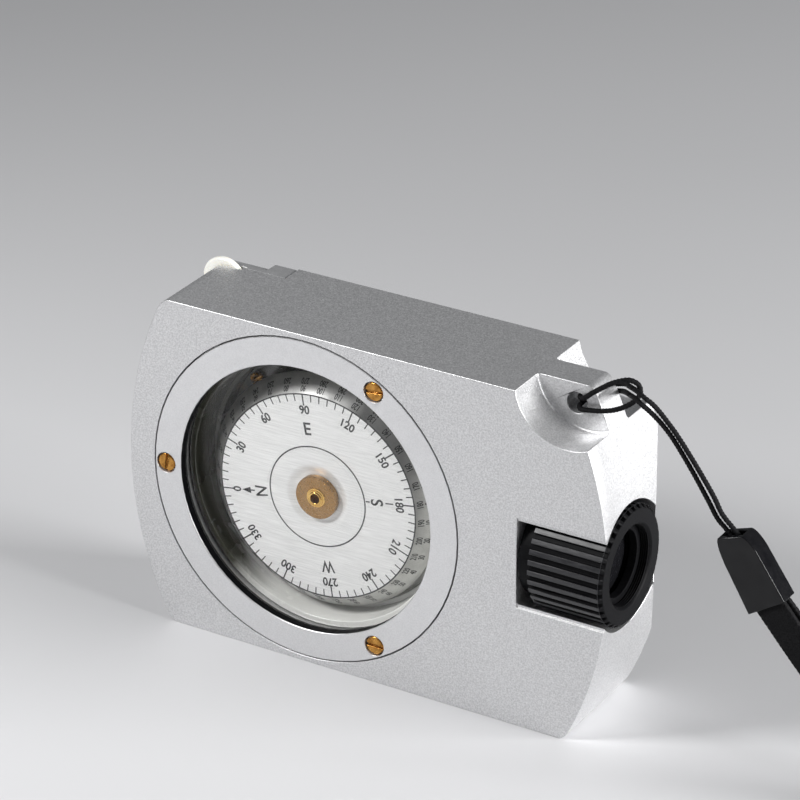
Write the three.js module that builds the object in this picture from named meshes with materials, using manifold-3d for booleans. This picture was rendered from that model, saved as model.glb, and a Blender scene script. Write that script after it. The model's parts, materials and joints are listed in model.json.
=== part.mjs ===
// A hand-held sighting compass, in millimetres. +Z is up, X runs along the body with the eyepiece at +X,
// and the dial faces -Y. The compass stands on its long lower edge, with the origin under its middle.
import * as THREE from "three";
import * as BufferGeometryUtils from "three/addons/utils/BufferGeometryUtils.js";
import Module from "manifold-3d";

const wasm = await Module();
wasm.setup();

// ---------------------------------------------------------------- driving dimensions
const gap = 0.3; // between pieces that rest on each other
const play = 0.1; // around a piece that turns in another

const body = { height: 52, thick: 18.3, endX: 38.9, endRadius: 57.7, cornerRadius: 1.6 };
const focus = { radius: 8.8, face: 8.3, proud: 1.55, axisZ: 25.75, leftX: 27.3, rightX: 38.7 };
const frontY = focus.proud - (body.thick + focus.proud) / 2;
const rearY = frontY + body.thick;
const midZ = body.height / 2;

// Depths in the dial are measured back from the front face.
const dial = { x: -9.6, z: midZ, pocketRadius: 21.5, pocketDepth: 12.8 };
const bezel = { radius: 25, bore: 20.7, thick: 1.4, seatRadius: 25.2, seatDepth: 1.6 };
const bezelScrew = { circle: 23.2, head: 1.4, headThick: 0.85, shank: 0.6, length: 4.6, recess: 0.1 };
const capsule = { radius: 21.2, wall: 1, windowFrom: 1.85, windowTo: 2.85, cupFrom: 3.1, floor: 11,
  cupTo: 12.3 };
const card = { drop: 1, depth: 3.8, tiltX: -0.53, tiltZ: 2.07, face: 15.9, skirt: 18.2, skirtDrop: 2.4,
  thick: 0.35 };
const eyeBore = { radius: 9.5, slotHalf: 6.95, leftX: 24.8, throat: 5.2 };
const eyeY = frontY - focus.proud + focus.radius;
const lug = { x: 32.2, z: 53.2, radius: 8.1, cornerRadius: 0.5, frontDepth: 6.35, rearDepth: 11.4 };
const lanyardHole = { x: 30.3, z: 49, radius: 1.6 };
const notch = { rightX: -21.4, floorZ: 43, frontDepth: 14.7 };
const wheel = { x: -31.7, z: 49.45, radius: 3.5, thick: 1, frontDepth: 14.15, bore: 0.7, well: 4.1 };
const browCut = { rearX: 36.6, edgeDepth: 14 };
const cord = { radius: 0.4 };
const strap = { width: 4.7, thick: 1 };

const deep = (depth) => frontY + depth;
const tau = 2 * Math.PI;

// ---------------------------------------------------------------- materials
const finish = (color, roughness, metalness) => new THREE.MeshStandardMaterial({ color, roughness, metalness });
const blasted = finish(0xc4c5c8, 0.45, 0.9);
const satin = finish(0xd2d3d6, 0.35, 0.9);
const brass = finish(0xb07a35, 0.35, 0.95);
const steel = finish(0x9a9a9c, 0.25, 1);
const acrylic = finish(0xe6ece8, 0.05, 0);
const lensGlass = finish(0xdfe8ee, 0.02, 0);
const cardSilver = finish(0xe3e3de, 0.4, 0.6);
const blackMetal = finish(0x17181a, 0.4, 0.6);
const ivory = finish(0xf1ead8, 0.45, 0);
const rubber = finish(0x1c1c1c, 0.8, 0);
const ruby = finish(0x8a1f2a, 0.1, 0);
const magnetGrey = finish(0x55565a, 0.5, 0.8);
const blackNylon = finish(0x131314, 0.85, 0);
const blackGloss = finish(0x0f0f11, 0.15, 0);

// ---------------------------------------------------------------- solids
function toSolid(geometry) {
  const plain = geometry.index ? geometry.toNonIndexed() : geometry.clone();
  plain.deleteAttribute("normal");
  plain.deleteAttribute("uv");
  const merged = BufferGeometryUtils.mergeVertices(plain, 1e-4);
  const mesh = new wasm.Mesh({
    numProp: 3,
    vertProperties: new Float32Array(merged.attributes.position.array),
    triVerts: new Uint32Array(merged.index.array),
  });
  return new wasm.Manifold(mesh);
}

function toGeometry(solid) {
  const mesh = solid.getMesh();
  const geometry = new THREE.BufferGeometry();
  geometry.setAttribute("position", new THREE.BufferAttribute(mesh.vertProperties, 3));
  geometry.setIndex(new THREE.BufferAttribute(mesh.triVerts, 1));
  return geometry;
}

const cut = (geometry, cutters) =>
  toGeometry(cutters.reduce((solid, cutter) => solid.subtract(toSolid(cutter)), toSolid(geometry)));

// An outline in (x, z), extruded from one y to another.
function slabY(shape, y0, y1, curveSegments = 24) {
  const geometry = new THREE.ExtrudeGeometry(shape, { depth: y1 - y0, bevelEnabled: false, curveSegments });
  return geometry.rotateX(Math.PI / 2).translate(0, y1, 0);
}

function rodY(x, z, radius, y0, y1, segments = 48) {
  return new THREE.CylinderGeometry(radius, radius, y1 - y0, segments).translate(x, (y0 + y1) / 2, z);
}

function rodX(y, z, radius, x0, x1, segments = 64) {
  const geometry = new THREE.CylinderGeometry(radius, radius, x1 - x0, segments);
  return geometry.rotateZ(-Math.PI / 2).translate((x0 + x1) / 2, y, z);
}

function box(x0, x1, y0, y1, z0, z1) {
  const geometry = new THREE.BoxGeometry(x1 - x0, y1 - y0, z1 - z0);
  return geometry.translate((x0 + x1) / 2, (y0 + y1) / 2, (z0 + z1) / 2);
}

// A profile of [radius, distance] pairs turned about Y; distance grows towards the back.
function turnedY(profile, segments = 72) {
  return new THREE.LatheGeometry(profile.map(([r, d]) => new THREE.Vector2(r, d)), segments);
}

// The same, turned about X.
function turnedX(profile, segments = 64) {
  return turnedY(profile, segments).rotateZ(-Math.PI / 2);
}

const closed = (profile) => [...profile, profile[0]];
const washer = (inner, outer, d0, d1) => closed([[inner, d0], [outer, d0], [outer, d1], [inner, d1]]);

const group = new THREE.Group();
function place(name, geometry, material, parent = group) {
  const mesh = new THREE.Mesh(geometry, material);
  mesh.name = name;
  parent.add(mesh);
  return mesh;
}

function groupAt(x, y, z, parent = group) {
  const holder = new THREE.Group();
  holder.position.set(x, y, z);
  parent.add(holder);
  return holder;
}

// ---------------------------------------------------------------- body
const endCentreX = body.endRadius - body.endX;
const cornerX = endCentreX - Math.sqrt(body.endRadius ** 2 - midZ ** 2);

// The side view: flat top and bottom, an arc at each end, and broken corners. inset draws it smaller.
function bodyOutline(inset = 0) {
  const half = midZ - inset;
  const radius = body.endRadius - inset;
  const turn = Math.asin((half - body.cornerRadius) / radius);
  const shape = new THREE.Shape();
  const corner = (side, up) => {
    const x = side * (Math.cos(Math.asin(half / radius)) * radius - endCentreX);
    return [x, midZ + up * half];
  };
  const [leftX, lowZ] = corner(-1, -1);
  const [rightX, highZ] = corner(1, 1);
  shape.moveTo(leftX + body.cornerRadius, lowZ);
  shape.lineTo(rightX - body.cornerRadius / 2, lowZ);
  shape.quadraticCurveTo(rightX, lowZ, radius * Math.cos(turn) - endCentreX, midZ - radius * Math.sin(turn));
  shape.absarc(-endCentreX, midZ, radius, -turn, turn, false);
  shape.quadraticCurveTo(rightX, highZ, rightX - body.cornerRadius / 2, highZ);
  shape.lineTo(leftX + body.cornerRadius, highZ);
  shape.quadraticCurveTo(leftX, highZ, endCentreX - radius * Math.cos(turn), midZ + radius * Math.sin(turn));
  shape.absarc(endCentreX, midZ, radius, Math.PI - turn, Math.PI + turn, false);
  shape.quadraticCurveTo(leftX, lowZ, leftX + body.cornerRadius, lowZ);
  return shape;
}

// The lanyard lug is left between two scallops, cut with a round-nosed cutter.
function scallop(yOpen, yFloor) {
  const way = Math.sign(yFloor - yOpen);
  const nose = lug.cornerRadius;
  const profile = [[0, yOpen - way], [lug.radius, yOpen - way], [lug.radius, yFloor - way * nose]];
  const steps = 2;
  for (let i = 1; i <= steps; i++) {
    const a = (i / steps) * (Math.PI / 2);
    profile.push([lug.radius - nose * (1 - Math.cos(a)), yFloor - way * nose * (1 - Math.sin(a))]);
  }
  profile.push([0, yFloor]);
  if (way < 0) profile.reverse();
  return turnedY(profile, 64).translate(lug.x, 0, lug.z);
}

// A bevel along the back of the eyepiece end, which leaves room for the brow.
function browBevel() {
  const shape = new THREE.Shape();
  const beyond = 6;
  const slope = (body.endX - browCut.rearX) / (rearY - deep(browCut.edgeDepth));
  shape.moveTo(browCut.rearX - slope * beyond, -(rearY + beyond));
  shape.lineTo(body.endX + slope * beyond, -(deep(browCut.edgeDepth) - beyond));
  shape.lineTo(body.endX + beyond, -(rearY + beyond));
  const depth = body.height + 2;
  const wedge = new THREE.ExtrudeGeometry(shape, { depth, bevelEnabled: false });
  return wedge.rotateX(Math.PI).translate(0, 0, depth - 1);
}

const bezelScrewAngles = [Math.PI / 3, Math.PI, -Math.PI / 3];
const bezelScrewAt = (angle) => [
  dial.x + bezelScrew.circle * Math.cos(angle),
  dial.z + bezelScrew.circle * Math.sin(angle),
];
const coverScrew = { x: -24, z: 46.2, head: 1.1, headThick: 0.7, shank: 0.5, length: 4.5 };
const axle = { radius: 0.6, frontY: deep(wheel.frontDepth) - 1.8, rearY: rearY - 0.6 };

function makeBody() {
  const cutters = [
    rodY(dial.x, dial.z, bezel.seatRadius, frontY - 1, deep(bezel.seatDepth), 72),
    rodY(dial.x, dial.z, dial.pocketRadius, frontY - 1, deep(dial.pocketDepth), 64),
    rodX(eyeY, focus.axisZ, eyeBore.radius, eyeBore.leftX, body.endX + 1, 64),
    box(eyeBore.leftX, body.endX + 1, frontY - 1, eyeY - eyeBore.slotHalf,
      focus.axisZ - eyeBore.slotHalf, focus.axisZ + eyeBore.slotHalf),
    rodX(eyeY, focus.axisZ, eyeBore.throat, dial.x + dial.pocketRadius - 2, eyeBore.leftX + 1, 24),
    scallop(frontY, deep(lug.frontDepth)),
    scallop(rearY, deep(lug.rearDepth)),
    rodY(lanyardHole.x, lanyardHole.z, lanyardHole.radius, frontY - 1, rearY + 1, 20),
    box(-body.endX - 1, notch.rightX, deep(notch.frontDepth), rearY + 1, notch.floorZ, body.height + 1),
    rodY(wheel.x, wheel.z, wheel.well, deep(wheel.frontDepth) - gap, rearY, 32),
    rodY(wheel.x, wheel.z, axle.radius + play, axle.frontY - gap, rearY, 16),
    rodY(coverScrew.x, coverScrew.z, coverScrew.shank + play, rearY - coverScrew.length - 1, rearY, 16),
    browBevel(),
  ];
  for (const angle of bezelScrewAngles) {
    const [x, z] = bezelScrewAt(angle);
    cutters.push(rodY(x, z, bezelScrew.shank + play, frontY, deep(bezelScrew.length + 1), 16));
  }
  return cut(slabY(bodyOutline(), frontY, rearY), cutters);
}
place("body", makeBody(), blasted);

// ---------------------------------------------------------------- bezel ring and its screws
function slottedScrew(head, headThick, shank, length, slotTurn) {
  const blank = turnedY([[0, 0], [head - 0.12, 0], [head, 0.12], [head, headThick], [shank, headThick],
    [shank, length], [0, length]], 20);
  const slot = box(-head - 1, head + 1, -1, headThick * 0.45, -head * 0.17, head * 0.17).rotateY(slotTurn);
  return cut(blank, [slot]);
}

function makeBezel() {
  const edge = 0.12;
  const ring = turnedY(closed([[bezel.bore, edge], [bezel.bore + edge, 0], [bezel.radius - edge / 2, 0],
    [bezel.radius, edge / 2], [bezel.radius, bezel.thick], [bezel.bore, bezel.thick]]), 72);
  const cutters = [];
  for (const angle of bezelScrewAngles) {
    const x = bezelScrew.circle * Math.cos(angle);
    const z = bezelScrew.circle * Math.sin(angle);
    const seat = bezelScrew.recess + bezelScrew.headThick + play;
    cutters.push(rodY(x, z, bezelScrew.head + 0.2, -1, seat, 20));
    cutters.push(rodY(x, z, bezelScrew.shank + play, -1, bezel.thick + 1, 16));
  }
  return cut(ring, cutters);
}

const dialGroup = groupAt(dial.x, frontY, dial.z);
place("front_bezel_ring", makeBezel(), satin, dialGroup);
const slotTurns = [-0.12, Math.PI / 2 + 0.1, 0];
bezelScrewAngles.forEach((angle, i) => {
  const { head, headThick, shank, length } = bezelScrew;
  const screw = slottedScrew(head, headThick, shank, length, slotTurns[i]);
  const [x, z] = bezelScrewAt(angle);
  place(`bezel_screw_${i + 1}`, screw, brass, groupAt(x, deep(bezelScrew.recess), z));
});

// ---------------------------------------------------------------- capsule
const gasket = { inner: bezel.bore + play, from: 1.5, to: 1.75 };
place("window_gasket", turnedY(washer(gasket.inner, capsule.radius, gasket.from, gasket.to), 48), rubber,
  dialGroup);
place("capsule_window", turnedY([[0, capsule.windowFrom], [capsule.radius, capsule.windowFrom],
  [capsule.radius, capsule.windowTo], [0, capsule.windowTo]], 64), acrylic, dialGroup);

const plug = { x: -14.2, z: 11.2, head: 1.05, headThick: 0.7, shank: 0.5, length: 1.9 };
const post = { radius: 1.3, length: 3.6, foot: 0.8 };
const tip = { radius: 0.35, length: 3.15 };

function makeCup() {
  const inner = capsule.radius - capsule.wall;
  const shelf = { width: 0.7, depth: 8.2 };
  const cup = turnedY([[0, capsule.floor], [inner - shelf.width, capsule.floor],
    [inner - shelf.width, shelf.depth], [inner, shelf.depth], [inner, capsule.cupFrom],
    [capsule.radius, capsule.cupFrom], [capsule.radius, capsule.cupTo], [0, capsule.cupTo]], 64);
  return cut(cup, [
    rodY(plug.x, plug.z, plug.shank + play, capsule.floor - 1, capsule.cupTo + 1, 16),
    rodY(0, 0, post.foot + play, capsule.floor - 1, capsule.cupTo + 1, 24),
  ]);
}
place("capsule_cup", makeCup(), acrylic, dialGroup);
place("fill_plug", slottedScrew(plug.head, plug.headThick, plug.shank, plug.length, -0.7), brass,
  groupAt(plug.x, capsule.floor - plug.headThick - play, plug.z, dialGroup));

// ---------------------------------------------------------------- pivot
const postTop = capsule.floor - play - post.length;
const pinHole = 0.6;
place("pivot_post", turnedY([[0, postTop + pinHole], [tip.radius + play, postTop + pinHole],
  [tip.radius + play, postTop], [post.radius - 0.4, postTop], [post.radius, postTop + 1],
  [post.radius, capsule.floor - play], [post.foot, capsule.floor - play], [post.foot, capsule.cupTo],
  [0, capsule.cupTo]], 20), brass, dialGroup);
const tipEnd = postTop + pinHole - play;
place("pivot_pin", turnedY([[0, tipEnd - tip.length], [tip.radius, tipEnd - tip.length + 0.8],
  [tip.radius, tipEnd], [0, tipEnd]], 12), steel, dialGroup);

// ---------------------------------------------------------------- card
// The card hangs on its pivot: its axis lies a little low and a little askew.
const cardGroup = groupAt(dial.x, deep(card.depth), dial.z - card.drop);
const inRadians = THREE.MathUtils.degToRad;
cardGroup.rotation.set(inRadians(card.tiltX), 0, inRadians(card.tiltZ), "ZXY");
const dish = { floor: 3.7, edge: 5.2, depth: 0.4 };
const hub = { flange: 3.3, plate: 0.75, sleeve: 2.2, bore: 1.85, eye: 0.7, length: 2.4 };

function makeCard() {
  const t = card.thick;
  const hole = hub.sleeve + play;
  return turnedY(closed([
    [hole, dish.depth], [dish.floor, dish.depth], [dish.edge, 0], [card.face, 0],
    [card.skirt, card.skirtDrop], [card.skirt - t * 0.9, card.skirtDrop + t * 0.7], [card.face - t * 0.6, t],
    [dish.edge, t], [dish.floor, t + dish.depth], [hole, t + dish.depth],
  ]), 60);
}

// The hub's flange stands in the card's dish, and its collar rises in front of it.
function makeHub() {
  const seat = dish.depth - play;
  const top = seat - hub.plate;
  const collar = { foot: 1.45, rim: 0.95, height: 0.35 };
  return turnedY(closed([
    [hub.eye, top - collar.height], [collar.rim, top - collar.height], [collar.foot, top],
    [hub.flange - 0.15, top], [hub.flange, top + 0.1], [hub.flange, seat], [hub.sleeve, seat],
    [hub.sleeve, hub.length], [hub.bore, hub.length], [hub.bore, 0.1], [hub.eye, 0.1],
  ]), 28);
}

place("compass_card", makeCard(), cardSilver, cardGroup);
place("card_hub", makeHub(), brass, cardGroup);
const jewel = { radius: hub.bore - play, from: 0.2, cup: 0.6, cupRadius: 1.4, rim: 1.55, to: 1.2 };
place("jewel_bearing", turnedY([[0, jewel.from], [jewel.radius, jewel.from], [jewel.radius, jewel.to],
  [jewel.rim, jewel.to], [jewel.cupRadius, jewel.cup + 0.2], [0, jewel.cup]], 24), ruby, cardGroup);
const magnet = { radius: 6.5, from: dish.depth + card.thick + play, to: 2.4 };
place("ring_magnet", turnedY(washer(hub.sleeve + play, magnet.radius, magnet.from, magnet.to), 32), magnetGrey,
  cardGroup);

// ---------------------------------------------------------------- eyepiece
const eyeGroup = groupAt(0, eyeY, focus.axisZ);
const barrel = { shank: 4.9, thread: 7.3, bore: 4.3, innerX: 13.2, outerX: 31.2 };
place("lens_barrel", turnedX(closed([
  [barrel.bore, barrel.innerX], [barrel.shank, barrel.innerX], [barrel.shank, eyeBore.leftX + gap],
  [barrel.thread, eyeBore.leftX + gap], [barrel.thread, barrel.outerX], [barrel.bore, barrel.outerX],
]), 40), blackMetal, eyeGroup);
const disc = { radius: barrel.bore - play, fromX: barrel.innerX + 0.4, toX: barrel.innerX + 1.6 };
place("graticule", turnedX([[0, disc.fromX], [disc.radius, disc.fromX], [disc.radius, disc.toX],
  [0, disc.toX]], 32), lensGlass, eyeGroup);

// The grip is a ring of flat-topped ribs; its bore steps down to the seat of the lens.
const ribs = { count: 36, depth: 0.5, topShare: 0.46, rootShare: 0.4 };
const lens = { radius: 5.6, seatX: 34.1, edge: 0.9, bulge: 0.6 };
const mouth = { radius: 6, threadX: 35.3 };

function ribbedOutline() {
  const pitch = tau / ribs.count;
  const points = [];
  for (let i = 0; i < ribs.count; i++) {
    const corner = (share, radius) => {
      const a = (i + share) * pitch;
      points.push(new THREE.Vector2(radius * Math.cos(a), radius * Math.sin(a)));
    };
    corner(-ribs.topShare / 2, focus.radius);
    corner(ribs.topShare / 2, focus.radius);
    corner(0.5 - ribs.rootShare / 2, focus.radius - ribs.depth);
    corner(0.5 + ribs.rootShare / 2, focus.radius - ribs.depth);
  }
  return new THREE.Shape(points);
}

function makeFocusRing() {
  const depth = focus.rightX - focus.leftX;
  const grip = new THREE.ExtrudeGeometry(ribbedOutline(), { depth, bevelEnabled: false });
  grip.rotateY(Math.PI / 2).translate(focus.leftX, 0, 0);
  const bore = turnedX([
    [0, focus.leftX - 1], [barrel.thread + play, focus.leftX - 1], [barrel.thread + play, barrel.outerX + 2],
    [lens.radius - 0.8, barrel.outerX + 2], [lens.radius - 0.8, lens.seatX], [lens.radius + play, lens.seatX],
    [lens.radius + play, mouth.threadX], [mouth.radius, mouth.threadX], [mouth.radius, focus.rightX - 0.3],
    [mouth.radius + 0.3, focus.rightX], [mouth.radius + 1.3, focus.rightX + 1], [0, focus.rightX + 1],
  ], 40);
  const nose = focus.radius - focus.face;
  const chamfer = turnedX(closed([
    [focus.radius + 1, focus.rightX - nose], [focus.radius + 1, focus.rightX + 1],
    [focus.face - 1, focus.rightX + 1], [focus.face, focus.rightX], [focus.radius, focus.rightX - nose],
  ]), 72);
  return cut(grip, [bore, chamfer]);
}

function makeLens() {
  const profile = [[0, lens.seatX + 0.15]];
  profile.push([lens.radius, lens.seatX + 0.15], [lens.radius, lens.seatX + lens.edge]);
  const steps = 4;
  for (let i = 1; i <= steps; i++) {
    const share = i / steps;
    profile.push([lens.radius * (1 - share), lens.seatX + lens.edge + lens.bulge * share * (2 - share)]);
  }
  return turnedX(profile, 36);
}

place("focus_ring", makeFocusRing(), blackMetal, eyeGroup);
place("eye_lens", makeLens(), lensGlass, eyeGroup);
const retainer = { bore: 4.9, fromX: 35.9, toX: 37.1 };
place("lens_retainer", turnedX(washer(retainer.bore, mouth.radius - play, retainer.fromX, retainer.toX), 40),
  blackMetal, eyeGroup);

// ---------------------------------------------------------------- corner wheel and its cover
const coverStep = { footX: -26.5, topX: -24.9, drop: 1.15, lip: 1.1 };

function makeCover() {
  const coverFrontY = deep(notch.frontDepth) + gap;
  const solid = slabY(bodyOutline(0.2), coverFrontY, rearY);
  const low = body.height - coverStep.drop;
  const step = new THREE.Shape();
  step.moveTo(-body.endX - 1, low);
  step.lineTo(coverStep.footX, low);
  step.lineTo(coverStep.topX, body.height + 0.1);
  step.lineTo(coverStep.topX, body.height + 1);
  step.lineTo(-body.endX - 1, body.height + 1);
  return cut(solid, [
    box(notch.rightX - gap, body.endX + 1, frontY, rearY + 1, -1, body.height + 1),
    box(-body.endX - 1, body.endX + 1, frontY, rearY + 1, -1, notch.floorZ + gap),
    slabY(step, coverFrontY + coverStep.lip, rearY + 1),
    rodY(wheel.x, wheel.z, wheel.well, frontY, deep(wheel.frontDepth) + wheel.thick + gap, 48),
    rodY(wheel.x, wheel.z, axle.radius + play, frontY, axle.rearY + gap, 16),
    rodY(coverScrew.x, coverScrew.z, coverScrew.shank + play, frontY, rearY + 1, 16),
    rodY(coverScrew.x, coverScrew.z, coverScrew.head + play, rearY - coverScrew.headThick - play,
      rearY + 1, 24),
  ]);
}

function makeWheel() {
  const r = wheel.radius;
  const t = wheel.thick;
  const round = 0.25;
  return turnedY(closed([[wheel.bore, 0], [r - round, 0], [r, round], [r, t - round], [r - round, t],
    [wheel.bore, t]]), 48);
}

place("corner_cover", makeCover(), satin);
place("corner_cover_screw", slottedScrew(coverScrew.head, coverScrew.headThick, coverScrew.shank,
  coverScrew.length, 0.5).rotateX(Math.PI), brass, groupAt(coverScrew.x, rearY, coverScrew.z));
const wheelGroup = groupAt(wheel.x, deep(wheel.frontDepth), wheel.z);
place("corner_wheel", makeWheel(), ivory, wheelGroup);
place("corner_wheel_axle", rodY(wheel.x, wheel.z, axle.radius, axle.frontY, axle.rearY, 20), steel);

// ---------------------------------------------------------------- lanyard
// The cord leaves the clip, goes round behind the lug, through its hole, makes a loop round itself, and
// returns the same way.
const V = (x, y, z) => new THREE.Vector3(x, y, z);
const cordRoute = [
  V(54.6, -0.4, 34.4), V(53.3, -0.5, 35.7), V(51.8, -0.6, 37.3), V(50.6, -0.7, 39.5), V(47.7, -0.9, 43.8),
  V(44.9, -1.2, 47.7), V(43.6, -1.5, 49.4), V(42.6, -1.9, 50.8), V(41.8, -2.5, 52.0), V(40.9, -2.9, 52.8),
  V(39.4, -2.2, 53.1), V(37.9, -0.6, 52.5), V(36.4, 1.2, 51.7), V(35.2, 2.8, 51.0), V(33.7, 3.7, 50.3),
  V(31.8, 3.9, 49.6), V(30.6, 3.0, 49.5), V(30.3, 1.0, 49.6), V(30.3, -1.2, 49.7), V(31.5, -2.5, 50.2),
  V(33.1, -2.8, 51.6), V(34.4, -2.8, 52.6), V(35.7, -2.6, 53.5), V(37.0, -2.3, 54.1), V(38.1, -1.9, 54.3),
  V(39.1, -1.5, 53.8), V(39.4, -1.3, 52.9), V(39.3, -1.4, 52.1), V(38.9, -2.0, 51.4), V(37.7, -2.6, 50.5),
  V(36.1, -2.8, 49.7), V(34.2, -2.8, 49.1), V(32.6, -2.8, 48.8), V(31.1, -2.5, 48.5), V(30.3, -1.2, 48.4),
  V(30.3, 1.0, 48.4), V(30.6, 3.0, 48.4), V(31.8, 3.9, 48.5), V(33.6, 3.7, 49.2), V(35.0, 2.6, 49.9),
  V(36.1, 1.2, 50.6), V(37.7, -0.7, 51.4), V(39.2, -2.4, 52.1), V(40.6, -3.1, 51.8), V(41.3, -2.5, 50.9),
  V(42.1, -1.9, 49.8), V(43.2, -1.5, 48.5), V(44.5, -1.2, 46.8), V(47.3, -0.9, 42.7), V(50.0, -0.7, 38.4),
  V(51.2, -0.6, 36.4), V(52.5, -0.5, 35.1), V(53.8, -0.4, 33.9),
];

// A section of the given corners, swept along the route.
function sweep(corners, route, steps) {
  const section = new THREE.Shape(corners.map(([x, y]) => new THREE.Vector2(x, y)));
  const extrudePath = new THREE.CatmullRomCurve3(route, false, "centripetal");
  return new THREE.ExtrudeGeometry(section, { steps, extrudePath, bevelEnabled: false });
}

const roundSection = Array.from({ length: 8 }, (_, i) => {
  const a = (i / 8) * tau;
  return [cord.radius * Math.cos(a), cord.radius * Math.sin(a)];
});
place("lanyard_cord", sweep(roundSection, cordRoute, 72), blackNylon);

// The clip: a flat black box with narrow, rounded shoulders, the left one higher, sloping down to the right.
const clip = { x: 56.55, y: -0.4, z: 30.4, length: 11.4, width: 6.2, shoulder: 3.6, skew: 0.9, thick: 3.2,
  slope: 57.3 };
const clipGroup = groupAt(clip.x, clip.y, clip.z);
clipGroup.rotation.y = inRadians(clip.slope);

function makeClip() {
  const [l, w, top] = [clip.length / 2, clip.width / 2, clip.shoulder / 2];
  const shape = new THREE.Shape();
  const [hipX, hip] = [-l + 3.6, w - 0.3];
  shape.moveTo(hipX, -hip);
  shape.lineTo(l, -w);
  shape.lineTo(l, w);
  shape.lineTo(hipX, hip);
  shape.quadraticCurveTo(-l + clip.skew + 0.4, hip - 0.3, -l + clip.skew, top);
  shape.lineTo(-l, -top);
  shape.quadraticCurveTo(-l + 0.4, 0.3 - hip, hipX, -hip);
  const cordMouth = { half: 0.8, depth: 2.2, edge: 0.2 };
  const strapMouth = { half: 1.3, depth: 2.4, edge: 0.3 };
  return cut(slabY(shape, -clip.thick / 2, clip.thick / 2, 6), [
    box(-l - 1, -l + cordMouth.depth, -cordMouth.half, cordMouth.half,
      -top + cordMouth.edge, top - cordMouth.edge),
    box(l - strapMouth.depth, l + 1, -strapMouth.half, strapMouth.half,
      -w + strapMouth.edge, w - strapMouth.edge),
  ]);
}
place("lanyard_connector", makeClip(), blackGloss, clipGroup);

// The strap is one band of webbing. Both its ends are in the clip, its legs spread as they come down, and its
// loop stands on edge on the floor.
const edgeZ = strap.width / 2 + 0.1;
const strapRoute = [
  V(58.5, -1.05, 27.3), V(59.9, -1.05, 25.6), V(63.4, -1.2, 21.7), V(67.1, -1.35, 17.7), V(71.0, -1.5, 13.5),
  V(75.3, -1.6, 9.5), V(80.3, -1.7, 6.1), V(86.0, -1.8, 3.7), V(92.0, -1.95, 2.6), V(98.0, -2.5, edgeZ),
  V(106.0, -4.4, edgeZ), V(117.0, -9.8, edgeZ), V(129.0, -13.6, edgeZ), V(140.0, -12.8, edgeZ),
  V(147.0, -7.6, edgeZ), V(149.4, 0.0, edgeZ), V(146.6, 7.6, edgeZ), V(139.0, 12.4, edgeZ),
  V(128.0, 13.0, edgeZ), V(116.0, 9.0, edgeZ), V(106.0, 3.8, edgeZ), V(98.0, 1.7, edgeZ), V(92.0, 1.2, 2.6),
  V(86.0, 1.0, 3.7), V(80.3, 0.9, 6.1), V(75.3, 0.8, 9.5), V(71.0, 0.7, 13.5), V(67.1, 0.55, 17.7),
  V(63.4, 0.4, 21.7), V(59.9, 0.25, 25.6), V(58.5, 0.25, 27.3),
];
const half = [strap.thick / 2, strap.width / 2];
const bandSection = [[-half[0], -half[1]], [half[0], -half[1]], [half[0], half[1]], [-half[0], half[1]]];
place("wrist_strap", sweep(bandSection, strapRoute, 78), blackNylon);

export default group;
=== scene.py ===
import json
import math

import bmesh
import bpy
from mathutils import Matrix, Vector


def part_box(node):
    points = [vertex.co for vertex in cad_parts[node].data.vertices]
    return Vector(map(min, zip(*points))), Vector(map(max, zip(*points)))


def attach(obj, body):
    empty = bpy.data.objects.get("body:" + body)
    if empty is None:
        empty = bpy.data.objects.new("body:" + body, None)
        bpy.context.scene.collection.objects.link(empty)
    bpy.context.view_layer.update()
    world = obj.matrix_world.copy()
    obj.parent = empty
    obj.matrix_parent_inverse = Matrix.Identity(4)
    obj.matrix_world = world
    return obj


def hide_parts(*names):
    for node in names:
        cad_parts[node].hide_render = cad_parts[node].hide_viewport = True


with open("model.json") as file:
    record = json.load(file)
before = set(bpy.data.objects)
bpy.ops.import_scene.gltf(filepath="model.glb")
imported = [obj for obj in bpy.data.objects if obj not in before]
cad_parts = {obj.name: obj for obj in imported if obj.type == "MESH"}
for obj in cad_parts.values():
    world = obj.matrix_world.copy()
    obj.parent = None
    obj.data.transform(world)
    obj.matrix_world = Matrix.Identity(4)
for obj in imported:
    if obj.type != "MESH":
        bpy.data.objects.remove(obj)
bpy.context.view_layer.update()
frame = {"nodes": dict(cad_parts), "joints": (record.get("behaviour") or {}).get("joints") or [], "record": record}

MM = 0.001
TAU = 2 * math.pi

# ---------------------------------------------------------------- camera
# The viewing angle: turned right of the front, and raised, at a long focal length.
CAMERA_TURN = math.radians(30.74)
CAMERA_RAISE = math.radians(26.564)
CAMERA_PLACE = Vector((247.67, -414.265, 282.13)) * MM
CAMERA_LENS = 173.79


def make_camera():
    data = bpy.data.cameras.new("camera")
    data.lens = CAMERA_LENS
    data.sensor_width = 36
    data.clip_start = 0.01
    data.clip_end = 20
    camera = bpy.data.objects.new("camera", data)
    camera.location = CAMERA_PLACE
    camera.rotation_euler = (math.pi / 2 - CAMERA_RAISE, 0, CAMERA_TURN)
    bpy.context.scene.collection.objects.link(camera)
    bpy.context.scene.camera = camera


make_camera()


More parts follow.
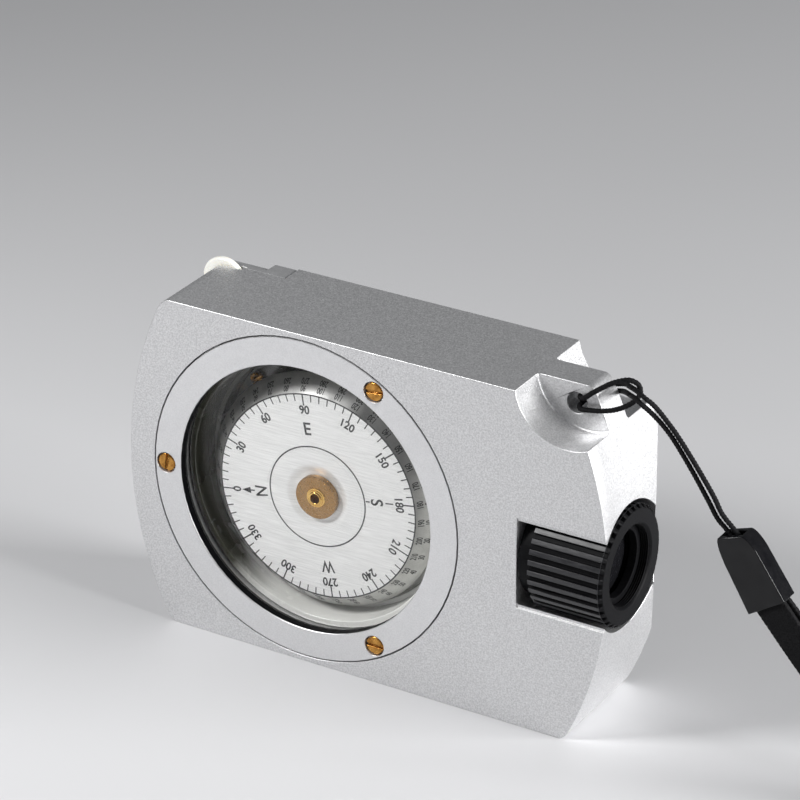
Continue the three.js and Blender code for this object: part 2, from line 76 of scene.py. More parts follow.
# ---------------------------------------------------------------- node materials
class Finish:
    """A procedural material: a Principled shader, and nodes that vary its colour, roughness and bump."""

    def __init__(self, name, color, roughness, metallic=0.0, **sockets):
        self.material = bpy.data.materials.new(name)
        self.material.use_nodes = True
        self.nodes = self.material.node_tree.nodes
        self.links = self.material.node_tree.links
        self.shader = self.nodes["Principled BSDF"]
        self.shader.inputs["Base Color"].default_value = (*color, 1)
        self.shader.inputs["Roughness"].default_value = roughness
        self.shader.inputs["Metallic"].default_value = metallic
        for socket, value in sockets.items():
            self.shader.inputs[socket.replace("_", " ")].default_value = value
        self.place = self.nodes.new("ShaderNodeTexCoord").outputs["Object"]
        self.normal = None

    def stretched(self, scale, rotation=(0, 0, 0)):
        node = self.nodes.new("ShaderNodeMapping")
        node.inputs["Scale"].default_value = scale
        node.inputs["Rotation"].default_value = rotation
        self.links.new(self.place, node.inputs["Vector"])
        return node.outputs["Vector"]

    def noise(self, scale, detail=2.0, vector=None):
        node = self.nodes.new("ShaderNodeTexNoise")
        node.inputs["Scale"].default_value = scale
        node.inputs["Detail"].default_value = detail
        self.links.new(vector or self.place, node.inputs["Vector"])
        return node.outputs["Fac"]

    def ramp(self, source, low, high, start=0.3, end=0.7):
        """Colours from low to high as source goes from start to end."""
        node = self.nodes.new("ShaderNodeValToRGB")
        for stop, at, color in zip(node.color_ramp.elements, (start, end), (low, high)):
            stop.position = at
            stop.color = (*color, 1)
        self.links.new(source, node.inputs["Fac"])
        return node.outputs["Color"]

    def spread(self, source, low, high, start=0.3, end=0.7):
        node = self.nodes.new("ShaderNodeMapRange")
        for socket, value in (("From Min", start), ("From Max", end), ("To Min", low), ("To Max", high)):
            node.inputs[socket].default_value = value
        self.links.new(source, node.inputs["Value"])
        return node.outputs["Result"]

    def combined(self, operation, *values):
        node = self.nodes.new("ShaderNodeMath")
        node.operation = operation
        for socket, value in zip(node.inputs, values):
            if isinstance(value, (int, float)):
                socket.default_value = value
            else:
                self.links.new(value, socket)
        return node.outputs["Value"]

    def scaled(self, source, factor, shift):
        return self.combined("MULTIPLY_ADD", source, factor, shift)

    def sum(self, first, second):
        return self.combined("ADD", first, second)

    def color(self, output):
        self.links.new(output, self.shader.inputs["Base Color"])
        return self

    def roughness(self, output):
        self.links.new(output, self.shader.inputs["Roughness"])
        return self

    def bump(self, height, distance, strength=1.0):
        node = self.nodes.new("ShaderNodeBump")
        node.inputs["Distance"].default_value = distance
        node.inputs["Strength"].default_value = strength
        self.links.new(height, node.inputs["Height"])
        if self.normal:
            self.links.new(self.normal, node.inputs["Normal"])
        self.normal = node.outputs["Normal"]
        self.links.new(self.normal, self.shader.inputs["Normal"])
        return self


def grey(value):
    return (value, value, value * 1.01)


def blasted_aluminium():
    """Fine bead-blasted and clear anodised: a soft metal grain with small glints."""
    f = Finish("blasted_aluminium", grey(0.70), 0.42, metallic=0.82)
    grain = f.noise(4200, 2.0)
    f.color(f.ramp(grain, grey(0.60), grey(0.80), 0.34, 0.68))
    f.roughness(f.spread(f.noise(5200, 1.0), 0.34, 0.52))
    return f.bump(grain, 0.00006, 0.55).bump(f.noise(700, 2.0), 0.00002, 0.25).material


def satin_aluminium():
    """Turned and finely satin, smoother than the blasted body."""
    f = Finish("satin_aluminium", grey(0.74), 0.36, metallic=0.8)
    grain = f.noise(6500, 2.0)
    f.color(f.ramp(grain, grey(0.69), grey(0.78)))
    f.roughness(f.spread(f.noise(900, 2.0), 0.31, 0.42))
    return f.bump(grain, 0.000025, 0.35).material


def brass(name="brass", deep=(0.30, 0.13, 0.028), light=(0.62, 0.32, 0.08)):
    """Turned brass, toned darker in patches."""
    f = Finish(name, light, 0.3, metallic=1.0)
    f.color(f.ramp(f.noise(1100, 3.0), deep, light, 0.3, 0.66))
    f.roughness(f.spread(f.noise(2600, 2.0), 0.22, 0.36))
    return f.bump(f.noise(5000, 2.0), 0.00002, 0.3).material


def polished_brass():
    """The hub's collar: polished brass, brighter than the flange as a painted highlight, with faint handling
    marks.
    """
    f = Finish("polished_brass", (0.80, 0.50, 0.16), 0.14, metallic=1.0)
    f.color(f.ramp(f.noise(900, 2.0), (0.68, 0.39, 0.10), (0.88, 0.58, 0.20)))
    f.roughness(f.spread(f.noise(1800, 2.0), 0.08, 0.22))
    return f.bump(f.noise(3000, 2.0), 0.00001, 0.2).material


def card_silver():
    """Silvered card with a fine straight brushing along the north line."""
    f = Finish("card_silver", grey(0.92), 0.4, metallic=0.4)
    streaks = f.noise(1.0, 3.0, f.stretched((260, 260, 6500)))
    f.color(f.ramp(streaks, (0.80, 0.80, 0.785), (0.99, 0.99, 0.975)))
    f.roughness(f.spread(streaks, 0.34, 0.5))
    return f.bump(streaks, 0.00002, 0.4).material


def card_skirt():
    """The card's turned skirt: the same silver, but bare, and darker as painted shade, with patches in its tone.
    """
    f = Finish("card_skirt", grey(0.42), 0.34, metallic=0.85)
    patches = f.noise(420, 3.0)
    f.color(f.ramp(patches, (0.44, 0.44, 0.43), (0.60, 0.60, 0.585)))
    f.roughness(f.spread(patches, 0.28, 0.42))
    return f.bump(f.noise(2200, 2.0), 0.00002, 0.3).material


def print_ink():
    f = Finish("print_ink", (0.012, 0.012, 0.013), 0.5)
    f.color(f.ramp(f.noise(3000, 2.0), (0.008, 0.008, 0.009), (0.022, 0.022, 0.024)))
    return f.bump(f.noise(6000, 1.0), 0.00001, 0.3).material


def black_anodised():
    """Black anodised metal with a fine tool texture."""
    f = Finish("black_anodised", (0.004, 0.004, 0.005), 0.5, Specular_IOR_Level=0.09)
    fine = f.noise(1.0, 3.0, f.stretched((900, 5200, 5200)))
    f.color(f.ramp(fine, (0.002, 0.002, 0.0025), (0.007, 0.007, 0.008)))
    f.roughness(f.spread(fine, 0.42, 0.6))
    return f.bump(fine, 0.00002, 0.35).material


def black_flats():
    """The tops of the grip's ribs: shinier than the rest, and greyer as a painted highlight."""
    f = Finish("black_flats", (0.016, 0.016, 0.018), 0.34, Specular_IOR_Level=0.6)
    fine = f.noise(1.0, 3.0, f.stretched((900, 5200, 5200)))
    f.color(f.ramp(fine, (0.010, 0.010, 0.012), (0.03, 0.03, 0.034)))
    f.roughness(f.spread(fine, 0.3, 0.46))
    return f.bump(fine, 0.00002, 0.35).material


def steel():
    f = Finish("steel", grey(0.5), 0.28, metallic=1.0)
    fine = f.noise(1.0, 3.0, f.stretched((5000, 700, 5000)))
    f.color(f.ramp(fine, grey(0.42), grey(0.6)))
    return f.bump(fine, 0.00001, 0.3).material


def ivory_plastic():
    f = Finish("ivory_plastic", (0.83, 0.79, 0.68), 0.42, Subsurface_Weight=0.1)
    f.color(f.ramp(f.noise(420, 3.0), (0.86, 0.82, 0.73), (0.93, 0.905, 0.84)))
    f.roughness(f.spread(f.noise(900, 2.0), 0.36, 0.5))
    return f.bump(f.noise(2500, 2.0), 0.00002, 0.3).material


def clear_acrylic():
    """The flat front window: clear, with a soft polish."""
    f = Finish("clear_acrylic", (0.97, 0.98, 0.97), 0.03, Transmission_Weight=1.0, IOR=1.49, Alpha=0.05)
    return f.bump(f.noise(120, 1.0), 0.000004, 0.2).material


def cup_acrylic():
    """The moulded cup, with streaks from its mould: dark olive at the upper left as painted shade, milky at the
    lower right as painted light.
    """
    f = Finish("cup_acrylic", (0.4, 0.4, 0.34), 0.2, Specular_IOR_Level=0.8, Coat_Weight=0.4)
    low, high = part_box("capsule_cup")
    middle = (low + high) / 2
    streaks = f.noise(1.0, 3.0, f.stretched((60, 900, 60)))
    split = f.nodes.new("ShaderNodeSeparateXYZ")
    f.links.new(f.place, split.inputs["Vector"])
    drop = 1.3  # the painted light changes a little more downwards than sideways
    rightwards = f.scaled(split.outputs["X"], 1.0, -middle.x)
    downwards = f.scaled(split.outputs["Z"], -drop, drop * middle.z)
    painted_light_diagonal = f.sum(rightwards, downwards)
    # Painted shade and light: the colour follows place along this diagonal, dark at the upper left and milky at
    # the lower right.
    place = f.spread(painted_light_diagonal, 0.0, 1.0, 0.002, 0.024)
    painted_light_and_streaks = f.sum(place, f.scaled(streaks, 0.5, -0.25))
    f.color(f.ramp(painted_light_and_streaks, (0.05, 0.05, 0.036), (0.96, 0.96, 0.92), 0.08, 0.62))
    f.roughness(f.spread(f.noise(300, 2.0), 0.14, 0.3))
    return f.bump(f.noise(500, 2.0), 0.00008, 0.35).material


def lens_glass():
    f = Finish("lens_glass", (0.012, 0.012, 0.014), 0.05, Transmission_Weight=0.2, IOR=1.45, Coat_Weight=0.15)
    return f.bump(f.noise(90, 1.0), 0.000004, 0.2).material


def rubber():
    f = Finish("rubber", (0.02, 0.02, 0.02), 0.75)
    f.color(f.ramp(f.noise(1500, 2.0), (0.013, 0.013, 0.013), (0.03, 0.03, 0.03)))
    return f.bump(f.noise(4000, 2.0), 0.00003, 0.4).material


def jewel():
    f = Finish("jewel", (0.10, 0.025, 0.006), 0.12, Coat_Weight=0.5)
    f.color(f.ramp(f.noise(900, 2.0), (0.07, 0.018, 0.004), (0.13, 0.035, 0.008)))
    return f.material


def magnet():
    f = Finish("magnet", grey(0.14), 0.5, metallic=0.8)
    f.color(f.ramp(f.noise(3500, 3.0), grey(0.1), grey(0.2)))
    return f.bump(f.noise(3500, 3.0), 0.00003, 0.5).material


def black_gloss_plastic():
    """Glossy black moulding with faint scuffs."""
    f = Finish("black_gloss_plastic", (0.004, 0.004, 0.005), 0.2, Specular_IOR_Level=0.28)
    f.color(f.ramp(f.noise(700, 3.0), (0.003, 0.003, 0.004), (0.008, 0.008, 0.009)))
    f.roughness(f.spread(f.noise(1600, 4.0), 0.1, 0.26))
    return f.bump(f.noise(600, 3.0), 0.00003, 0.25).material


def black_yarn(name):
    """Black synthetic yarn: a little sheen on top of the woven shape."""
    f = Finish(name, (0.006, 0.006, 0.007), 0.7, Specular_IOR_Level=0.08)
    thread = f.noise(5200, 2.0)
    f.color(f.ramp(thread, (0.003, 0.003, 0.0035), (0.016, 0.016, 0.017)))
    f.roughness(f.spread(thread, 0.6, 0.8))
    return f.bump(thread, 0.00004, 0.6).material


MATERIALS = {
    "blasted_aluminium": blasted_aluminium(),
    "satin_aluminium": satin_aluminium(),
    "brass": brass(),
    "rubber": rubber(),
    "clear_acrylic": clear_acrylic(),
    "card_silver": card_silver(),
    "jewel": jewel(),
    "magnet": magnet(),
    "steel": steel(),
    "black_anodised": black_anodised(),
    "lens_glass": lens_glass(),
    "ivory_plastic": ivory_plastic(),
    "black_cord": black_yarn("black_cord"),
    "black_gloss_plastic": black_gloss_plastic(),
    "black_webbing": black_yarn("black_webbing"),
}
CUP_PAINTED_LIGHT = cup_acrylic()
INK = print_ink()
SKIRT_PAINTED_SHADE = card_skirt()
RIB_TOPS_PAINTED_HIGHLIGHT = black_flats()
HUB_BRASS = brass("hub_brass", (0.36, 0.215, 0.10), (0.385, 0.235, 0.11))
COLLAR_PAINTED_HIGHLIGHT = polished_brass()
SLOT_OF = {part["node"]: part["material_slot"] for part in frame["record"]["subparts"]}
BODY_OF = {node: body for body, nodes in frame["record"]["behaviour"]["bodies"].items() for node in nodes}


# ---------------------------------------------------------------- pieces
def new_piece(name, mesh, material, body, replaces=()):
    mesh.materials.clear()
    mesh.materials.append(material)
    piece = bpy.data.objects.new(name, mesh)
    bpy.context.scene.collection.objects.link(piece)
    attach(piece, body)
    if replaces:
        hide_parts(*replaces)
    return piece


def mesh_from(name, points, faces, smooth=True):
    mesh = bpy.data.meshes.new(name)
    mesh.from_pydata([tuple(p) for p in points], [], faces)
    mesh.validate()
    for polygon in mesh.polygons:
        polygon.use_smooth = smooth
    return mesh


def applied(piece):
    """The mesh that the piece's modifiers make."""
    evaluated = piece.evaluated_get(bpy.context.evaluated_depsgraph_get())
    return bpy.data.meshes.new_from_object(evaluated)


SHARP = math.radians(28)


def refined(node, edge, segments=2, material=None):
    """The CAD node's own solid with its edges rounded by edge millimetres."""
    mesh = frame["nodes"][node].data.copy()
    solid = bmesh.new()
    solid.from_mesh(mesh)
    bmesh.ops.remove_doubles(solid, verts=solid.verts, dist=0.002 * MM)
    solid.to_mesh(mesh)
    solid.free()
    piece = bpy.data.objects.new(node + "_draft", mesh)
    bpy.context.scene.collection.objects.link(piece)
    bevel = piece.modifiers.new("bevel", "BEVEL")
    bevel.width = edge * MM
    bevel.segments = segments
    bevel.limit_method = "ANGLE"
    bevel.angle_limit = SHARP
    bevel.use_clamp_overlap = False
    bevel.loop_slide = False
    weighted = piece.modifiers.new("weighted", "WEIGHTED_NORMAL")
    weighted.keep_sharp = True
    for polygon in mesh.polygons:
        polygon.use_smooth = True
    finished = applied(piece)
    bpy.data.objects.remove(piece)
    slot = SLOT_OF[node]
    return new_piece(node + "_finished", finished, material or MATERIALS[slot], BODY_OF[node], [node])


def turned(profile, steps, centre, axis):
    """Points and faces of a closed profile of (radius, distance) turned about axis through centre."""
    along = Vector(axis).normalized()
    across = along.cross(Vector((0, 0, 1))).normalized()
    up = across.cross(along)
    points = []
    for i in range(steps):
        a = TAU * i / steps
        out = across * math.cos(a) + up * math.sin(a)
        points += [centre + (out * r + along * d) * MM for r, d in profile]
    n = len(profile)
    faces = []
    for i in range(steps):
        here, there = i * n, (i + 1) % steps * n
        for k in range(n):
            m = (k + 1) % n
            faces.append((here + k, there + k, there + m, here + m))
    return points, faces


# ---------------------------------------------------------------- cords
CORD_ROUTE = [
    (54.6, -0.4, 34.4), (53.3, -0.5, 35.7), (51.8, -0.6, 37.3), (50.6, -0.7, 39.5), (47.7, -0.9, 43.8),
    (44.9, -1.2, 47.7), (43.6, -1.5, 49.4), (42.6, -1.9, 50.8), (41.8, -2.5, 52.0), (40.9, -2.9, 52.8),
    (39.4, -2.2, 53.1), (37.9, -0.6, 52.5), (36.4, 1.2, 51.7), (35.2, 2.8, 51.0), (33.7, 3.7, 50.3),
    (31.8, 3.9, 49.6), (30.6, 3.0, 49.5), (30.3, 1.0, 49.6), (30.3, -1.2, 49.7), (31.5, -2.5, 50.2),
    (33.1, -2.8, 51.6), (34.4, -2.8, 52.6), (35.7, -2.6, 53.5), (37.0, -2.3, 54.1), (38.1, -1.9, 54.3),
    (39.1, -1.5, 53.8), (39.4, -1.3, 52.9), (39.3, -1.4, 52.1), (38.9, -2.0, 51.4), (37.7, -2.6, 50.5),
    (36.1, -2.8, 49.7), (34.2, -2.8, 49.1), (32.6, -2.8, 48.8), (31.1, -2.5, 48.5), (30.3, -1.2, 48.4),
    (30.3, 1.0, 48.4), (30.6, 3.0, 48.4), (31.8, 3.9, 48.5), (33.6, 3.7, 49.2), (35.0, 2.6, 49.9),
    (36.1, 1.2, 50.6), (37.7, -0.7, 51.4), (39.2, -2.4, 52.1), (40.6, -3.1, 51.8), (41.3, -2.5, 50.9),
    (42.1, -1.9, 49.8), (43.2, -1.5, 48.5), (44.5, -1.2, 46.8), (47.3, -0.9, 42.7), (50.0, -0.7, 38.4),
    (51.2, -0.6, 36.4), (52.5, -0.5, 35.1), (53.8, -0.4, 33.9),
]
CORD_RADIUS = 0.4

STRAP_WIDTH = 4.7
STRAP_THICK = 1.0
EDGE_Z = STRAP_WIDTH / 2 + 0.1
LEG_MIDDLE = -0.4
# Each leg's points: x, z, and how far the leg is from the middle between the two.
LEG = [
    (58.5, 27.3, 0.65), (59.9, 25.6, 0.65), (63.4, 21.7, 0.8), (67.1, 17.7, 0.95), (71.0, 13.5, 1.1),
    (75.3, 9.5, 1.2), (80.3, 6.1, 1.3), (86.0, 3.7, 1.4), (92.0, 2.6, 1.575),
]
LOOP = [
    (98.0, -2.5), (106.0, -4.4), (117.0, -9.8), (129.0, -13.6), (140.0, -12.8), (147.0, -7.6), (149.4, 0.0),
    (146.6, 7.6), (139.0, 12.4), (128.0, 13.0), (116.0, 9.0), (106.0, 3.8), (98.0, 1.7),
]
STRAP_ROUTE = (
    [(x, LEG_MIDDLE - apart, z) for x, z, apart in LEG]
    + [(x, y, EDGE_Z) for x, y in LOOP]
    + [(x, LEG_MIDDLE + apart, z) for x, z, apart in reversed(LEG)]
)


def smooth_line(route, step):
    """A centripetal Catmull-Rom curve through the route, sampled about every step millimetres."""
    points = [Vector(p) for p in route]
    points = [points[0] * 2 - points[1]] + points + [points[-1] * 2 - points[-2]]
    line = []
    for a, b, c, d in zip(points, points[1:], points[2:], points[3:]):
        ta, tb, tc = ((q - p).length ** 0.5 for p, q in ((a, b), (b, c), (c, d)))
        m1 = (b - a) / ta - (c - a) / (ta + tb) + (c - b) / tb
        m2 = (c - b) / tb - (d - b) / (tb + tc) + (d - c) / tc
        m1, m2 = m1 * tb, m2 * tb
        count = max(2, round((c - b).length / step))
        for i in range(count):
            t = i / count
            line.append(
                b * (2 * t**3 - 3 * t**2 + 1) + m1 * (t**3 - 2 * t**2 + t)
                + c * (3 * t**2 - 2 * t**3) + m2 * (t**3 - t**2)
            )
    return line + [points[-2]]


def swept(name, line, start_side, section, sides):
    """A closed tube along line. section(turn, distance) gives the offset to the side and across."""
    side = Vector(start_side)
    points, faces = [], []
    distance = 0.0
    for i, centre in enumerate(line):
        along = (line[min(i + 1, len(line) - 1)] - line[max(i - 1, 0)]).normalized()
        side = (side - along * side.dot(along)).normalized()
        across = along.cross(side)
        if i:
            distance += (centre - line[i - 1]).length
        for k in range(sides):
            s, t = section(k / sides, distance)
            points.append((centre + side * s + across * t) * MM)
        if i:
            here, before = i * sides, (i - 1) * sides
            for k in range(sides):
                m = (k + 1) % sides
                faces.append((before + k, before + m, here + m, here + k))
    faces.append(tuple(reversed(range(sides))))
    faces.append(tuple(range((len(line) - 1) * sides, len(line) * sides)))
    return mesh_from(name, points, faces)


BRAID = {"pitch": 1.0, "yarns": 4, "relief": 0.06}


def braided(turn, distance):
    """A round braid: two sets of yarns that cross, each rising over the other in turn."""
    pitch, yarns, relief = BRAID["pitch"], BRAID["yarns"], BRAID["relief"]
    left = math.sin(TAU * yarns * (turn + distance / pitch / yarns))
    right = math.sin(TAU * yarns * (turn - distance / pitch / yarns))
    radius = CORD_RADIUS - relief + relief * left * right
    a = TAU * turn
    return radius * math.cos(a), radius * math.sin(a)


WEAVE = {"squareness": 0.35, "rib": 0.7, "warp": 0.8, "relief": 0.06, "waist": 0.01}


def woven(turn, distance):
    """A flat band with soft edges, and ribs of weft that shift from one warp yarn to the next."""
    a = TAU * turn
    squareness = WEAVE["squareness"]
    s = math.copysign(abs(math.cos(a)) ** squareness, math.cos(a))
    t = math.copysign(abs(math.sin(a)) ** squareness, math.sin(a))
    half_thick, half_wide = STRAP_THICK / 2, STRAP_WIDTH / 2
    rib, warp, relief = WEAVE["rib"], WEAVE["warp"], WEAVE["relief"]
    across = t * half_wide
    height = math.sin(TAU * (distance / rib + abs(across) / warp)) * relief
    return s * (half_thick - relief + height), across * (1 - WEAVE["waist"] * math.sin(TAU * distance / rib))


def make_cords():
    clip = refined("lanyard_connector", 0.13, 3)
    line = smooth_line(CORD_ROUTE, 0.12)
    cord = new_piece("braided_cord", swept("braided_cord", line, (0, 1, 0), braided, 20),
                     MATERIALS["black_cord"], "root", ["lanyard_cord"])
    line = smooth_line(STRAP_ROUTE, 0.16)
    strap = new_piece("webbing_strap", swept("webbing_strap", line, (0, 1, 0), woven, 36),
                      MATERIALS["black_webbing"], "root", ["wrist_strap"])


make_cords()


# ---------------------------------------------------------------- body and plain parts
def make_metal_parts():
    refined("body", 0.1, 2)
    for i in (1, 2, 3):
        refined(f"bezel_screw_{i}", 0.06, 2)
    for node, edge in (
        ("corner_cover", 0.12), ("corner_cover_screw", 0.05), ("corner_wheel_axle", 0.08),
        ("corner_wheel", 0.1), ("fill_plug", 0.05), ("lens_barrel", 0.08), ("lens_retainer", 0.08),
        ("pivot_post", 0.05), ("pivot_pin", 0.02), ("ring_magnet", 0.1), ("jewel_bearing", 0.04),
        ("window_gasket", 0.05), ("graticule", 0.05), ("eye_lens", 0.05),
        ("capsule_window", 0.1),
    ):
        refined(node, edge)
    refined("capsule_cup", 0.12, 2, CUP_PAINTED_LIGHT)


def make_focus_ring():
    """The grip, with the tops of its ribs in a greyer, shinier copy of its finish, the grey a painted highlight.
    """
    ring = refined("focus_ring", 0.05)
    ring.data.materials.append(RIB_TOPS_PAINTED_HIGHLIGHT)
    low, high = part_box("focus_ring")
    top = (high.z - low.z) / 2 - 0.04 * MM
    middle = (low + high) / 2
    for polygon in ring.data.polygons:
        off_axis = math.hypot(polygon.center.y - middle.y, polygon.center.z - middle.z)
        # Painted highlight: the ribs' tops take the greyer finish.
        polygon.material_index = int(off_axis > top)


def make_bezel():
    """The ring, with its bore painted black as shade."""
    ring = refined("front_bezel_ring", 0.06, 2)
    ring.data.materials.append(MATERIALS["black_anodised"])
    low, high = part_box("front_bezel_ring")
    middle = (low + high) / 2
    screws_start = 21.2 * MM
    for polygon in ring.data.polygons:
        off_axis = math.hypot(polygon.center.x - middle.x, polygon.center.z - middle.z)
        is_wall = abs(polygon.normal.y) < 0.3
        # Painted shade: the bore's walls take the black finish.
        polygon.material_index = int(is_wall and off_axis < screws_start)


make_metal_parts()
make_focus_ring()
make_bezel()


# ---------------------------------------------------------------- eyepiece thread
THREAD = {"from_end": 1.55, "pitch": 0.32, "turns": 4, "radius": 6.02, "depth": 0.16}


def make_mouth_thread():
    """The thread in the eyepiece's mouth, as rings with rounded crests."""
    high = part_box("focus_ring")[1]
    axis = next(j for j in frame["joints"] if j["name"] == "focus_turn")
    centre = Vector(axis["pos_m"])
    start = (high.x - centre.x) / MM - THREAD["from_end"]
    points, faces = [], []
    for i in range(THREAD["turns"]):
        x = start + i * THREAD["pitch"]
        r, depth, width = THREAD["radius"], THREAD["depth"], THREAD["pitch"] * 0.85
        profile = [(r, x), (r - depth * 0.75, x + width * 0.3), (r - depth, x + width * 0.5),
                   (r - depth * 0.75, x + width * 0.7), (r, x + width)]
        ring, ring_faces = turned(profile, 96, centre, (1, 0, 0))
        faces += [tuple(k + len(points) for k in face) for face in ring_faces]
        points += ring
    new_piece("mouth_thread", mesh_from("mouth_thread", points, faces), MATERIALS["black_anodised"],
              "focus_grip")


make_mouth_thread()

# ---------------------------------------------------------------- dial card
CARD_JOINT = next(j for j in frame["joints"] if j["name"] == "card_spin")
CARD_CENTRE = Vector(CARD_JOINT["pos_m"])
CARD_OUT = Vector(CARD_JOINT["axis"]).normalized()
CARD_RIGHT = Vector((0, 0, 1)).cross(-CARD_OUT).normalized() * -1
CARD_UP = CARD_OUT.cross(CARD_RIGHT)
CARD = {"hole": 2.3, "dish_floor": 3.6, "dish_edge": 5.2, "dish": 0.4, "face": 15.9, "skirt": 18.2,
        "drop": 2.4, "thick": 0.35}


def card_depth(r):
    """How far behind the card's face plane its surface is, at radius r."""
    if r <= CARD["dish_floor"]:
        return CARD["dish"]
    if r <= CARD["dish_edge"]:
        share = (r - CARD["dish_floor"]) / (CARD["dish_edge"] - CARD["dish_floor"])
        return CARD["dish"] * (0.5 + 0.5 * math.cos(math.pi * share))
    if r <= CARD["face"]:
        return 0.0
    share = (r - CARD["face"]) / (CARD["skirt"] - CARD["face"])
    return CARD["drop"] * share


def on_card(r, angle, above=0.0):
    out = CARD_RIGHT * math.cos(angle) + CARD_UP * math.sin(angle)
    return CARD_CENTRE + (out * r + CARD_OUT * (above - card_depth(r))) * MM


def make_card():
    rows = [CARD["hole"], CARD["dish_floor"] - 0.1]
    rows += [CARD["dish_floor"] + (CARD["dish_edge"] - CARD["dish_floor"]) * i / 12 for i in range(13)]
    rows += [CARD["dish_edge"] + 0.1, 8, 12]
    rows += [CARD["face"] - 0.12, CARD["face"], CARD["face"] + 0.1, 17, CARD["skirt"]]
    steps = 180
    front = [[on_card(r, TAU * i / steps) for r in rows] for i in range(steps)]
    back = [[on_card(r, TAU * i / steps, -CARD["thick"]) for r in reversed(rows)] for i in range(steps)]
    points = [p for a, b in zip(front, back) for p in a + b]
    n = 2 * len(rows)
    faces = [
        (i * n + k, i * n + (k + 1) % n, (i + 1) % steps * n + (k + 1) % n, (i + 1) % steps * n + k)
        for i in range(steps) for k in range(n)
    ]
    mesh = mesh_from("card", points, faces)
    mesh.set_sharp_from_angle(angle=SHARP)
    card = new_piece("dial_card", mesh, MATERIALS["card_silver"], "card", ["compass_card"])
    mesh.materials.append(SKIRT_PAINTED_SHADE)
    for polygon in mesh.polygons:
        offset = (polygon.center - CARD_CENTRE) / MM
        off_axis = (offset - CARD_OUT * offset.dot(CARD_OUT)).length
        # Painted shade: the skirt takes the darker copy of the silver.
        polygon.material_index = int(off_axis > CARD["face"])
    return card


make_card()

# Radius and height above the card's face plane, from the eye outwards: collar, grooved flange, sleeve.
HUB_COLLAR = [(0.72, -0.1), (0.72, 0.76), (0.78, 0.82), (0.93, 0.82), (1.0, 0.77), (1.04, 0.66), (1.2, 0.63),
              (1.25, 0.53), (1.44, 0.51), (1.5, 0.42)]
HUB_FACE = 0.45
HUB_RIM = [(3.2, 0.45), (3.28, 0.41), (3.3, 0.34), (3.3, -0.3), (2.2, -0.3), (2.2, -2.4), (1.85, -2.4),
           (1.85, -0.1)]
HUB_GROOVES = {"from": 1.62, "pitch": 0.25, "count": 6, "depth": 0.03}


def make_hub():
    profile = list(HUB_COLLAR)
    for i in range(HUB_GROOVES["count"]):
        r = HUB_GROOVES["from"] + i * HUB_GROOVES["pitch"]
        profile += [(r, HUB_FACE), (r + HUB_GROOVES["pitch"] / 2, HUB_FACE - HUB_GROOVES["depth"])]
    points, faces = turned(profile + HUB_RIM, 96, CARD_CENTRE, CARD_OUT)
    mesh = mesh_from("hub", points, faces)
    mesh.set_sharp_from_angle(angle=SHARP)
    new_piece("card_bush", mesh, HUB_BRASS, "card", ["card_hub"])
    mesh.materials.append(COLLAR_PAINTED_HIGHLIGHT)
    for polygon in mesh.polygons:
        offset = (polygon.center - CARD_CENTRE) / MM
        height = offset.dot(CARD_OUT)
        off_axis = (offset - CARD_OUT * height).length
        # Painted highlight: the collar takes the brighter brass.
        polygon.material_index = int(off_axis < HUB_COLLAR[-1][0] and height > HUB_COLLAR[0][1])


make_hub()

# ---------------------------------------------------------------- dial print
NORTH = math.radians(188.8)  # where the dial's zero lies, from the right, counterclockwise
INK_THICK = 0.02


class Print:
    """Flat marks on the card, each lifted by the ink's thickness."""

    def __init__(self):
        self.points, self.faces = [], []

    def add(self, spots, faces):
        """Adds one flat mark. spots are (radius, angle)."""
        start = len(self.points)
        self.points += [on_card(r, a, INK_THICK) for r, a in spots]
        self.faces += [tuple(start + k for k in face) for face in faces]

    def bar(self, angle, r0, r1, width):
        half = width / 2
        before = [(r0, angle - half / r0), (r1, angle - half / r1)]
        after = [(r1, angle + half / r1), (r0, angle + half / r0)]
        self.add(before + after, [(0, 1, 2, 3)])

    def ring(self, radius, width, steps=180):
        spots = [(radius + w, TAU * i / steps) for i in range(steps) for w in (-width / 2, width / 2)]
        n = 2 * steps
        faces = [(2 * i, 2 * i + 1, (2 * i + 3) % n, (2 * i + 2) % n) for i in range(steps)]
        self.add(spots, faces)

    def text(self, words, angle, radius, height, tops_out=True, width=0.92, bold=0.035):
        """words centred at radius, along the circle, with the tops of the letters out or in."""
        curve = bpy.data.curves.new("text", "FONT")
        curve.body = words
        curve.align_x = "CENTER"
        curve.align_y = "CENTER"
        curve.size = height / 0.7
        curve.resolution_u = 6
        curve.offset = bold * height
        source = bpy.data.objects.new("text", curve)
        bpy.context.scene.collection.objects.link(source)
        glyphs = applied(source)
        way = 1 if tops_out else -1
        middle = (max(v.co.y for v in glyphs.vertices) + min(v.co.y for v in glyphs.vertices)) / 2
        spots = []
        for v in glyphs.vertices:
            r = radius + way * (v.co.y - middle)
            spots.append((r, angle - way * v.co.x * width / radius))
        self.add(spots, [tuple(p.vertices) for p in glyphs.polygons])
        bpy.data.objects.remove(source)
        bpy.data.curves.remove(curve)
        bpy.data.meshes.remove(glyphs)

    def arrow(self, angle, tail, base, tip, half):
        self.bar(angle, tail, base, LINE)
        self.add([(base, angle - half / base), (tip, angle), (base, angle + half / base)], [(0, 1, 2)])


LINE = 0.2
TICKS = {"outer": 15.75, "long_from": 14.05, "short_from": 14.7, "short_width": 0.16}


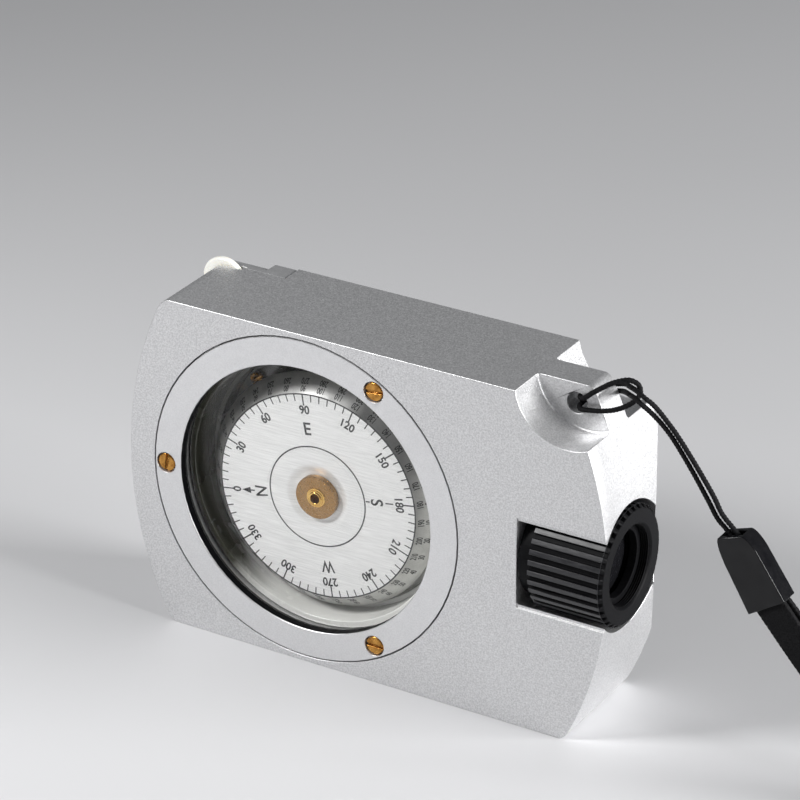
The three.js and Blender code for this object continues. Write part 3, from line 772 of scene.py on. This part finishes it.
def make_print():
    ink = Print()
    ink.ring(7.75, LINE)
    ink.ring(CARD["face"] - 0.1, LINE)
    for value in range(0, 360, 5):
        if value % 30 == 0:
            start, width = TICKS["long_from"], LINE
        else:
            start, width = TICKS["short_from"], TICKS["short_width"]
        ink.bar(NORTH - math.radians(value), start, TICKS["outer"], width)
    for value in range(0, 360, 30):
        ink.text(str(value), NORTH - math.radians(value), 13.4, 1.24)
    for letter, value, radius, width in (("N", 0, 9.35, 0.85), ("E", 90, 10.5, 0.95), ("S", 180, 9.75, 0.9),
                                         ("W", 270, 11.0, 0.68)):
        ink.text(letter, NORTH - math.radians(value), radius, 1.9, width=width, bold=0.02)
    ink.arrow(NORTH, tail=10.45, base=11.13, tip=12.57, half=0.5)
    for start, end in ((7.95, 8.6), (11.15, 12.4)):
        ink.bar(NORTH - math.pi, start, end, LINE)
    for value in range(0, 360, 10):
        angle = NORTH - math.radians(value)
        ink.text(str(value), angle, 16.45, 0.62, tops_out=False)
        ink.text(str((value + 180) % 360), angle, 17.25, 0.62, tops_out=False)
    mesh = mesh_from("dial_print", ink.points, ink.faces, smooth=False)
    solid = bmesh.new()
    solid.from_mesh(mesh)
    bmesh.ops.recalc_face_normals(solid, faces=solid.faces)
    for face in solid.faces:
        if face.normal.dot(CARD_OUT) < 0:
            face.normal_flip()
    sides = bmesh.ops.extrude_face_region(solid, geom=solid.faces[:])
    sunk = [v for v in sides["geom"] if isinstance(v, bmesh.types.BMVert)]
    bmesh.ops.translate(solid, verts=sunk, vec=-CARD_OUT * INK_THICK * 0.9 * MM)
    bmesh.ops.recalc_face_normals(solid, faces=solid.faces)
    solid.to_mesh(mesh)
    solid.free()
    new_piece("dial_print", mesh, INK, "card")


make_print()

# ---------------------------------------------------------------- floor and light
def add_area(name, place, target, size, power, tint=(1, 1, 1)):
    data = bpy.data.lights.new(name, "AREA")
    data.shape = "RECTANGLE"
    data.size, data.size_y = size
    data.energy = power
    data.color = tint
    light = bpy.data.objects.new(name, data)
    light.location = place
    light.rotation_euler = (Vector(target) - Vector(place)).to_track_quat("-Z", "Y").to_euler()
    bpy.context.scene.collection.objects.link(light)


def make_stage():
    size = 3.0
    mesh = mesh_from("floor", [(-size, -size, 0), (size, -size, 0), (size, size, 0), (-size, size, 0)],
                     [(0, 1, 2, 3)], smooth=False)
    f = Finish("floor", (0.62, 0.62, 0.63), 0.6)
    f.color(f.ramp(f.noise(6, 2.0), (0.61, 0.61, 0.62), (0.63, 0.63, 0.64)))
    mesh.materials.append(f.material)
    floor = bpy.data.objects.new("floor", mesh)
    bpy.context.scene.collection.objects.link(floor)
    world = bpy.data.worlds.new("studio")
    world.use_nodes = True
    world.node_tree.nodes["Background"].inputs["Color"].default_value = (0.80, 0.82, 0.85, 1)
    world.node_tree.nodes["Background"].inputs["Strength"].default_value = 0.15
    bpy.context.scene.world = world
    bpy.context.scene.view_settings.view_transform = "Standard"
    middle = (0, 0, 0.026)
    add_area("key", (-0.15, -0.17, 0.22), middle, (0.07, 0.07), 0.72)
    add_area("right", (0.70, 0.10, 0.22), middle, (0.45, 0.30), 10.0)


make_stage()
